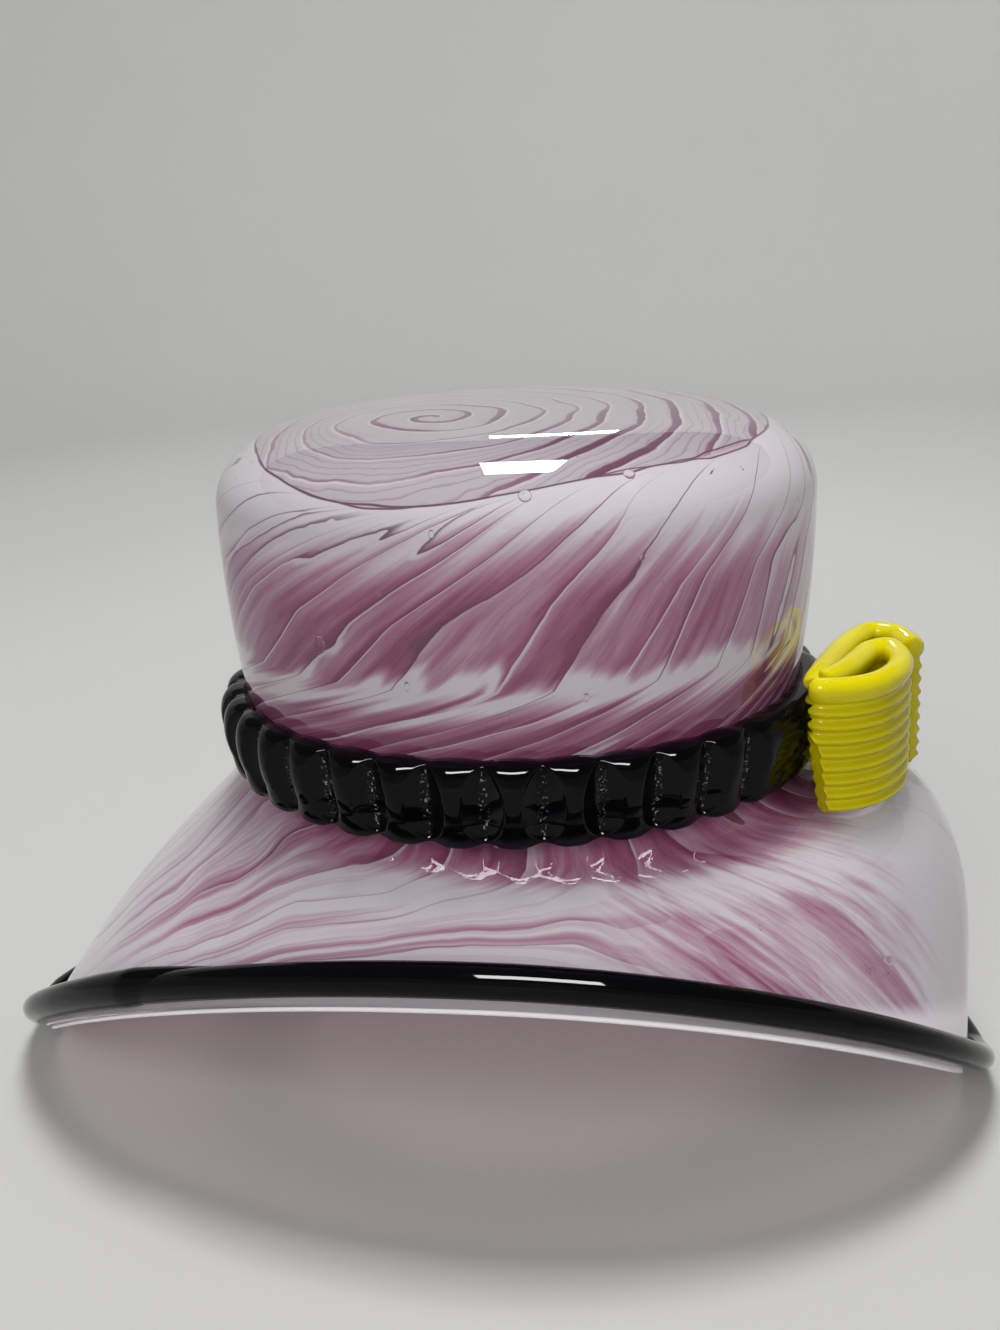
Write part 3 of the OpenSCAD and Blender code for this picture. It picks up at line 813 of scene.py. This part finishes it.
def loop_points(hat, bow, stations, shear, groove):
    """A loop of the bow: the ribbon's section carried along a plan curve from the band.

    At its near end the ribs are rounded off, and the lower half is cut aslant, more on the outer face.
    """
    steps = 400
    z, half = ribbon_section(bow, groove)
    heights = np.concatenate([z[::-1], z])[None]
    sides = np.concatenate([half[::-1], -half])[None]
    share = np.concatenate([np.linspace(0, 0.05, 18)[:-1], np.linspace(0.05, 1, 130)])[:, None]
    lower = np.clip(1 - heights / (0.60 * bow.ribbon_h), 0, 1)
    cut = shear * (0.55 * lower**1.2 + 0.45 * np.clip(lower * 6, 0, 1) * (0.5 + sides / bow.ribbon_t))
    hollow = (bow.ribbon_t / 2 - np.abs(sides)) / bow.ribbon_t * np.where(lower > 0, 0, 0.25 * shear / 0.05)
    path = smooth_path(stations, steps)
    ahead = np.gradient(path, axis=0)
    where = np.clip(share + (cut + hollow * 0.2) * (1 - share) ** 3, 0, 1) * (steps - 1)
    x, y, run, rise = (np.interp(where.ravel(), np.arange(steps), data).reshape(where.shape)
                       for data in (*path.T, *ahead.T))
    size = np.hypot(run, rise)
    tip = np.where(lower > 0, 0.006, 0.045)
    ends = np.sqrt(np.clip(1 - (1 - np.clip(share / tip, 0, 1)) ** 2, 0.06, 1))
    ends = ends * np.sqrt(np.clip((1 - share) / 0.03, 0.05, 1))
    low = hat.root_h - hat.root_r + bow.clear
    return np.stack([AXIS[0] + x + sides * ends * rise / size, AXIS[1] + y - sides * ends * run / size,
                     low + heights + 0 * x], -1)


def strewn_seeds(count):
    """Small bubbles strewn by a seeded generator, in rows like the larger ones."""
    strewn = np.random.default_rng(7)
    spans = ((0, 360), (0.5, 2.85), (0.00012, 0.00032), (1, 1.7))
    return np.stack([strewn.uniform(*span, count) for span in spans] + [np.zeros(count)], -1)


def unit_ball(rings, around):
    """Points of a ball: rings of them, then two poles."""
    tilt = np.linspace(0, pi, rings + 2)[1:-1, None]
    turn = np.arange(around)[None] * 2 * pi / around
    x, y = np.sin(tilt) * np.cos(turn), np.sin(tilt) * np.sin(turn)
    ball = np.stack([x, y, np.cos(tilt) + 0 * turn], -1).reshape(-1, 3)
    return np.concatenate([ball, [[0, 0, 1], [0, 0, -1]]])


def bubble_points(hat):
    """Air bubbles: stretched balls half way into the clear glass, the listed ones and the seeds."""
    place, down, size, long, twist = np.concatenate([np.array(BUBBLES), strewn_seeds(90)]).T
    t = np.radians(place)
    radius, height, stretch = outer_profiles(hat, t)
    k = np.argmin(np.abs(stretch - down[:, None]), 1)
    row = np.arange(len(k))
    run, fall = radius[row, k + 1] - radius[row, k - 1], height[row, k + 1] - height[row, k - 1]
    run, fall = run / np.hypot(run, fall), fall / np.hypot(run, fall)
    depth = 0.52 * hat.clear_t * thinning(down)
    turn = edge_turn(hat, t)
    middle = spin(turn, radius[row, k] + depth * fall, height[row, k] - depth * run)
    outward = np.stack([np.cos(turn), np.sin(turn), 0 * turn], -1)
    upright = np.array([0, 0, 1.0])
    along = run[:, None] * outward + fall[:, None] * upright
    out = -fall[:, None] * outward + run[:, None] * upright
    across = np.cross(out, along)
    flat = np.minimum(size, 0.4 * hat.clear_t * thinning(down))
    c, s = np.cos(np.radians(twist))[:, None], np.sin(np.radians(twist))[:, None]
    axes = np.stack([(c * across - s * along) * size[:, None],
                     (c * along + s * across) * (size * long)[:, None], out * flat[:, None]], 1)
    rings, around = 6, 10
    ball = unit_ball(rings, around)
    points = middle[:, None] + np.einsum("pk,bkx->bpx", ball, axes)
    start = len(ball) * np.arange(len(k))[:, None, None]
    faces = [(part + start).reshape(-1, part.shape[1]) for part in tube_faces(rings, around)]
    return points.reshape(-1, 3), faces


class HATGLASS_OT_swirl(bpy.types.Operator):
    """Swirled glass of crown and brim, one skin that thins where its edge was molten"""

    bl_idname = "hatglass.swirl"
    bl_label = "Swirled Body"

    def execute(self, context):
        hat, colours = context.scene.hat_sizes, context.scene.hat_colours
        turn, radius, height, stretch = hat_skin(hat)
        thin = thinning(stretch)
        skin = inset(radius, height, hat.clear_t * thin)
        points, faces = shell(turn, skin, inset(radius, height, (hat.clear_t + hat.swirl_t) * thin))
        # Glass or lining: the top, its underside, the skin, the lining and the edge between them
        sides = (0, 1, 0, 1, 0)
        picks = np.concatenate([np.full(len(f), k) for f, k in zip(faces, sides)]).astype(np.int32)
        flow = swirl_flow(hat, turn, *skin, stretch)
        at_edge = np.full(len(points) - 1 - radius[:, 1:].size, 3.0)
        values = {key: np.concatenate([data[:1, 0], data[:, 1:].ravel(), at_edge])
                  for key, data in flow.items()}
        materials = [material("swirled_glass", swirl_shader, colours),
                     material("swirled_lining", lining_shader, colours)]
        make_piece("swirled_body", points, faces, ["swirl_body"], materials, picks, values)
        return {"FINISHED"}


class HATGLASS_OT_clear(bpy.types.Operator):
    """Clear glass over the swirl, fused to it"""

    bl_idname = "hatglass.clear"
    bl_label = "Clear Casing"

    def execute(self, context):
        hat, colours = context.scene.hat_sizes, context.scene.hat_colours
        turn, radius, height, stretch = hat_skin(hat)
        under = inset(radius, height, (hat.clear_t + FUSED) * thinning(stretch))
        outer, inner = ([profile[:, :-1] for profile in skin] for skin in ((radius, height), under))
        points, faces = shell(turn, outer, inner)
        make_piece("clear_casing_glass", points, faces, ["clear_casing"],
                   [material("fire_polished_clear", clear_shader, colours)])
        return {"FINISHED"}


class HATGLASS_OT_bubbles(bpy.types.Operator):
    """Air bubbles sealed in the clear glass"""

    bl_idname = "hatglass.bubbles"
    bl_label = "Air Bubbles"

    def execute(self, context):
        points, faces = bubble_points(context.scene.hat_sizes)
        make_piece("sealed_bubbles", points, faces, [],
                   [material("sealed_air", bubble_shader)])
        return {"FINISHED"}


class HATGLASS_OT_band(bpy.types.Operator):
    """Black band, pinched all round apart from the stretch behind the bow"""

    bl_idname = "hatglass.band"
    bl_label = "Hat Band"

    def execute(self, context):
        scene = context.scene
        points, nip = band_points(scene.hat_sizes, scene.hat_trails)
        rows, cols = points.shape[:2]
        faces = [ring_quads(rows, cols, ring_rows=True)]
        make_piece("pinched_band", points.reshape(-1, 3), faces, ["hat_band"],
                   [material("fire_polished_black", black_shader, scene.hat_colours)],
                   values={"nip": nip.ravel()})
        return {"FINISHED"}


class HATGLASS_OT_lip(bpy.types.Operator):
    """Black trail along the edge of the brim"""

    bl_idname = "hatglass.lip"
    bl_label = "Edge Trail"

    def execute(self, context):
        scene = context.scene
        points = trail_points(scene.hat_sizes, scene.hat_trails)
        flat = np.concatenate([points.reshape(-1, 3), points[:1].mean(1), points[-1:].mean(1)])
        make_piece("edge_trail", flat, tube_faces(*points.shape[:2]), ["lip_wrap"],
                   [material("fire_polished_black", black_shader, scene.hat_colours)])
        return {"FINISHED"}


def make_loop(scene, name, node, *shape):
    """One loop of the bow with flat ends."""
    points = loop_points(scene.hat_sizes, scene.hat_bow, *shape)
    rows, cols = points.shape[:2]
    j = np.arange(cols // 2 - 1)
    cap = np.stack([j, j + 1, cols - 2 - j, cols - 1 - j], -1)
    faces = [ring_quads(rows, cols), cap[:, ::-1], cap + (rows - 1) * cols]
    make_piece(name, points.reshape(-1, 3), faces, [node],
               [material("fire_polished_yellow", yellow_shader, scene.hat_colours)])


class HATGLASS_OT_bow(bpy.types.Operator):
    """Both loops of the ribbed bow"""

    bl_idname = "hatglass.bow"
    bl_label = "Bow"

    def execute(self, context):
        scene = context.scene
        groove = scene.hat_bow.rib_depth * scene.hat_bow.rib_share
        front_shear, back_shear, back_groove = 0.06, 0.36, groove * 0.6
        make_loop(scene, "ribbed_front_loop", "bow_front_loop", FRONT_LOOP, front_shear, groove)
        make_loop(scene, "ribbed_back_loop", "bow_back_loop", BACK_LOOP, back_shear, back_groove)
        return {"FINISHED"}


def make_floor(scene):
    """A round pale floor that rises into a backdrop all round."""
    flat, bend, high, around, rings_flat = 1.0, 0.45, 0.8, 128, 30
    turn = (np.arange(around) * 2 * pi / around)[:, None]
    arc = np.linspace(0, pi / 2, 17)[1:]
    level = np.linspace(0.02, flat, rings_flat)
    radius = np.concatenate([level, flat + bend * np.sin(arc), [flat + bend]])[None]
    height = np.concatenate([0 * level, bend * (1 - np.cos(arc)), [high]])[None] + 0 * turn
    points = np.stack([radius * np.cos(turn), radius * np.sin(turn), height], -1)
    rings = points.shape[1]
    starts = np.arange(around) * rings
    middle = np.stack([np.full(around, around * rings), starts, np.roll(starts, -1)], -1)
    mesh = bpy.data.meshes.new("pale_floor")
    mesh.from_pydata(np.concatenate([points.reshape(-1, 3), np.zeros((1, 3))]).tolist(), [],
                     quads(around, rings, True, False).tolist() + middle.tolist())
    mesh.polygons.foreach_set("use_smooth", np.ones(len(mesh.polygons), bool))
    mesh.materials.append(material("pale_cloth", cloth_shader, scene.hat_colours))
    floor = bpy.data.objects.new("pale_floor", mesh)
    scene.collection.objects.link(floor)


def make_world(scene):
    """A dim, even room."""
    world = bpy.data.worlds.new("soft_room")
    world.use_nodes = True
    world.node_tree.nodes["Background"].inputs["Color"].default_value = (0.9, 0.9, 0.9, 1)
    world.node_tree.nodes["Background"].inputs["Strength"].default_value = 0.10
    scene.world = world


AIM = (0, 0, 0.08)
GLASS = ("swirled_body", "clear_casing_glass")
BOW = ("ribbed_front_loop", "ribbed_back_loop")

# Name, place, the point it looks at, width, depth, watts, and the pieces that it lights if not all of them.
# A soft lamp isn't mirrored, and a bright one is only mirrored.
LAMPS = (("bright_panel", (-0.115, 0.59, 1.12), AIM, 0.20, 0.32, 5.6, ()),
         ("bright_strip", (-0.21, 1.17, 0.62), AIM, 0.18, 0.04, 0.6, ()),
         ("soft_top", (0.0, 0.12, 1.25), AIM, 0.36, 0.36, 8.8, ()),
         ("soft_front", (-0.05, -1.05, 0.58), AIM, 0.8, 0.8, 7.2, ()),
         ("soft_backdrop", (0.0, 0.5, 1.0), (0, 1.45, 0.35), 0.5, 0.5, 3.0, ()),
         ("soft_right", (0.90, -0.30, 0.60), AIM, 0.5, 0.5, 2.6, GLASS),
         ("soft_bow", (0.16, 0.02, 1.10), AIM, 0.4, 0.4, 6.4, BOW),
         ("bright_bow", (-0.30, -0.78, 0.98), AIM, 0.36, 0.20, 7.0, BOW),
         ("bright_edge", (0.14, -0.70, 1.00), AIM, 0.58, 0.36, 46.0, ("edge_trail",)),
         ("bright_band", (0.05, -0.50, 1.15), AIM, 1.10, 0.24, 60.0, ("pinched_band",)))


def make_lamp(scene, name, place, aim, width, depth, watts, lit):
    """A rectangular lamp that looks at a point and isn't seen through glass."""
    light = bpy.data.lights.new(name, "AREA")
    light.shape, light.size, light.size_y, light.energy = "RECTANGLE", width, depth, watts
    lamp = bpy.data.objects.new(name, light)
    lamp.location = place
    lamp.rotation_euler = (Vector(aim) - Vector(place)).to_track_quat("-Z", "Y").to_euler()
    lamp.visible_transmission = False
    lamp.visible_diffuse, lamp.visible_glossy = "soft" in name, "bright" in name
    scene.collection.objects.link(lamp)
    if lit:
        group = bpy.data.collections.new(name)
        for piece in lit:
            group.objects.link(bpy.data.objects[piece])
        lamp.light_linking.receiver_collection = group


# Camera of the photo: eye and target from the foot of the crown's axis
EYE, TARGET = (0.0731, -0.3121, 0.1806), (-0.00446, -0.00111, 0.0832)
ROLL, LENS = radians(-2.36), 57.6


def make_camera(scene):
    """The camera that was fitted to the photo."""
    camera = bpy.data.cameras.new("photo_camera")
    camera.sensor_fit, camera.sensor_width, camera.lens = "HORIZONTAL", 36, LENS
    camera.clip_start = 0.01
    body = bpy.data.objects.new("photo_camera", camera)
    eye, target = Vector(EYE) + Vector(AXIS), Vector(TARGET) + Vector(AXIS)
    look = (target - eye).to_track_quat("-Z", "Y").to_matrix().to_4x4()
    body.matrix_world = Matrix.Translation(eye) @ look @ Matrix.Rotation(ROLL, 4, "Z")
    scene.collection.objects.link(body)
    scene.camera = body


class HATGLASS_OT_stage(bpy.types.Operator):
    """Pale floor that rises into a backdrop all round, soft lamps and the camera"""

    bl_idname = "hatglass.stage"
    bl_label = "Stage"

    def execute(self, context):
        scene = context.scene
        scene.view_settings.view_transform = "Standard"
        make_floor(scene)
        make_world(scene)
        for lamp in LAMPS:
            make_lamp(scene, *lamp)
        make_camera(scene)
        return {"FINISHED"}


class HATGLASS_PT_panel(bpy.types.Panel):
    """Steps that build the hat, in order."""

    bl_label = "Glass Hat"
    bl_idname = "HATGLASS_PT_panel"
    bl_space_type = "VIEW_3D"
    bl_region_type = "UI"
    bl_category = "Glass Hat"

    def draw(self, context):
        for step in STEPS:
            self.layout.operator(step.bl_idname)


GROUPS = {"hat_sizes": HatSizes, "hat_trails": TrailSizes, "hat_bow": BowSizes, "hat_colours": GlassColours}
STEPS = (HATGLASS_OT_swirl, HATGLASS_OT_clear, HATGLASS_OT_bubbles, HATGLASS_OT_band, HATGLASS_OT_lip,
         HATGLASS_OT_bow, HATGLASS_OT_stage)


def register():
    """Registers the groups of sizes, the steps and the panel."""
    for cls in (*GROUPS.values(), *STEPS, HATGLASS_PT_panel):
        bpy.utils.register_class(cls)
    for name, group in GROUPS.items():
        setattr(bpy.types.Scene, name, PointerProperty(type=group))


def unregister():
    """Removes what register added."""
    for name in GROUPS:
        delattr(bpy.types.Scene, name)
    for cls in (HATGLASS_PT_panel, *reversed(STEPS), *reversed(GROUPS.values())):
        bpy.utils.unregister_class(cls)


def main():
    """Builds the hat and its stage."""
    register()
    bpy.ops.hatglass.swirl()
    bpy.ops.hatglass.clear()
    bpy.ops.hatglass.bubbles()
    bpy.ops.hatglass.band()
    bpy.ops.hatglass.lip()
    bpy.ops.hatglass.bow()
    bpy.ops.hatglass.stage()


if __name__ == "__main__":
    main()
